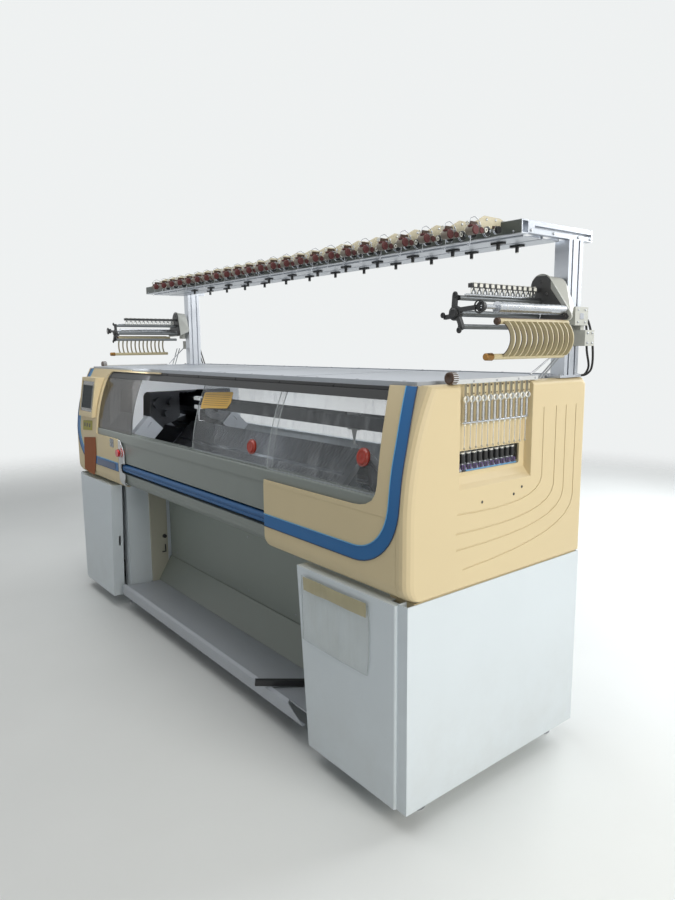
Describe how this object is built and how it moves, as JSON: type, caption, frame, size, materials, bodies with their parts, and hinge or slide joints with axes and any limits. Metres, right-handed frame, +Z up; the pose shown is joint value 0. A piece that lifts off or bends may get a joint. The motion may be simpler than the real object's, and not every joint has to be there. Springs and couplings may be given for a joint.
{
  "type": "flat knitting machine",
  "caption": "Long computerised flat knitting machine with a sliding carriage over needle beds, sliding windows, cabinets with doors, end feeders and an overhead yarn rack.",
  "frame": {"origin": "on the floor, under the middle of the machine", "axes": "+X along the needle beds to the right end seen by the operator, -Y towards the operator, +Z up"},
  "size_m": [2.836, 0.864, 1.722],
  "materials": {
    "cream_cover": "satin moulded",
    "white_sheet": "smooth powder coat",
    "gray_sheet": "powder coat",
    "blue_plastic": "gloss",
    "pale_plastic": "satin",
    "red_plastic": "gloss",
    "orange_knob": "gloss",
    "dark_glass": "gloss",
    "smoked_acrylic": "tinted",
    "clear_acrylic": "clear",
    "bright_steel": "polished",
    "steel": "ground",
    "frame_steel": "primer",
    "black_metal": "black oxide",
    "black_plastic": "matte",
    "black_rubber": "matte",
    "brushed_alloy": "brushed",
    "cream_plastic": "satin",
    "white_paint": "gloss"
  },
  "bodies": {
    "machine": {"base_frame": "frame_steel", "levelling_feet": "black_rubber", "bed_support": "frame_steel", "end_walls": "white_paint", "cabinets": "white_sheet", "cabinet_hatches": "cream_plastic", "well_fittings": "black_plastic", "rear_panels": "white_sheet", "end_covers": "cream_cover", "front_covers": "cream_cover", "front_panel": "gray_sheet", "panel_end_trim": "pale_plastic", "blue_trims": "blue_plastic", "window_trim": "cream_cover", "start_bar_brackets": "black_metal", "estop_ring": "red_plastic", "display_bezel": "cream_cover", "control_panels": "dark_glass", "window_sill": "gray_sheet", "window_track": "black_plastic", "smoked_window": "smoked_acrylic", "rear_window": "clear_acrylic", "yarn_table": "white_paint", "well_back": "gray_sheet", "fabric_tray": "gray_sheet", "needle_beds": "steel", "needles": "bright_steel", "carriage_rails": "bright_steel", "carrier_rails": "steel", "drive_motors": "black_metal", "rack_posts": "brushed_alloy", "rack_beams": "brushed_alloy", "yarn_guides": "black_plastic", "tension_plates": "cream_plastic", "tension_bodies": "cream_plastic", "tension_discs": "bright_steel", "side_tensioners": "white_paint", "side_springs": "bright_steel", "feeder_housings": "cream_plastic", "feeder_frames": "black_metal", "feeder_combs": "cream_cover", "side_cables": "black_rubber"},
    "carriage": {"carriage_bridge": "white_paint", "carriage_cams": "black_metal", "carriage_covers": "gray_sheet", "carriage_heads": "black_plastic"},
    "left_window_slide": {"left_window": "clear_acrylic", "window_knobs_left": "orange_knob"},
    "right_window_slide": {"right_window": "clear_acrylic", "window_knobs_right": "orange_knob"},
    "right_door_leaf": {"right_door": "white_sheet"},
    "left_door_leaf": {"left_door": "white_sheet"},
    "start_bar_lever": {"start_bar": "blue_plastic"},
    "stop_button": {"estop_button": "red_plastic"},
    "takedown": {"takedown_roller": "black_rubber"},
    "press": {"press_roller": "steel"},
    "carrier_a": {"yarn_carrier_a": "white_paint"},
    "carrier_b": {"yarn_carrier_b": "white_paint"},
    "feed_left": {"left_feeder_roller": "brushed_alloy"},
    "feed_right": {"right_feeder_roller": "brushed_alloy"}
  },
  "joints": [
    {"name": "carriage_travel", "type": "slide", "parent": "machine", "child": "carriage", "axis": [1, 0, 0], "range_m": [0, 1.8]},
    {"name": "left_window_slide", "type": "slide", "parent": "machine", "child": "left_window_slide", "axis": [1, 0, 0], "range_m": [-0.96, 0.59]},
    {"name": "right_window_slide", "type": "slide", "parent": "machine", "child": "right_window_slide", "axis": [1, 0, 0], "range_m": [-1.55, 0]},
    {"name": "right_door_hinge", "type": "hinge", "parent": "machine", "child": "right_door_leaf", "pos_m": [1.2777, -0.404, 0.366], "axis": [0, 0, 1], "range_deg": [0, 95]},
    {"name": "left_door_hinge", "type": "hinge", "parent": "machine", "child": "left_door_leaf", "pos_m": [-1.2777, -0.404, 0.366], "axis": [0, 0, -1], "range_deg": [0, 95]},
    {"name": "start_bar_tilt", "type": "hinge", "parent": "machine", "child": "start_bar_lever", "pos_m": [0, -0.386, 0.778], "axis": [1, 0, 0], "range_deg": [-12, 12], "stiffness_Nm_per_rad": 20},
    {"name": "stop_press", "type": "slide", "parent": "machine", "child": "stop_button", "axis": [0, 1, 0], "range_m": [0, 0.005]},
    {"name": "takedown_spin", "type": "hinge", "parent": "machine", "child": "takedown", "pos_m": [0, 0.024, 0.742], "axis": [1, 0, 0], "continuous": true},
    {"name": "press_spin", "type": "hinge", "parent": "machine", "child": "press", "pos_m": [0, -0.0193, 0.742], "axis": [1, 0, 0], "continuous": true},
    {"name": "carrier_a_travel", "type": "slide", "parent": "machine", "child": "carrier_a", "axis": [1, 0, 0], "range_m": [-0.65, 1.75]},
    {"name": "carrier_b_travel", "type": "slide", "parent": "machine", "child": "carrier_b", "axis": [1, 0, 0], "range_m": [-1.84, 0.55]},
    {"name": "left_feed_spin", "type": "hinge", "parent": "machine", "child": "feed_left", "pos_m": [-1.36, 0, 1.459], "axis": [0, 1, 0], "continuous": true},
    {"name": "right_feed_spin", "type": "hinge", "parent": "machine", "child": "feed_right", "pos_m": [1.36, 0, 1.459], "axis": [0, 1, 0], "continuous": true}
  ],
  "couplings": [
    {"joint": "press_spin", "follows": "takedown_spin", "ratio": -1.5294}
  ]
}
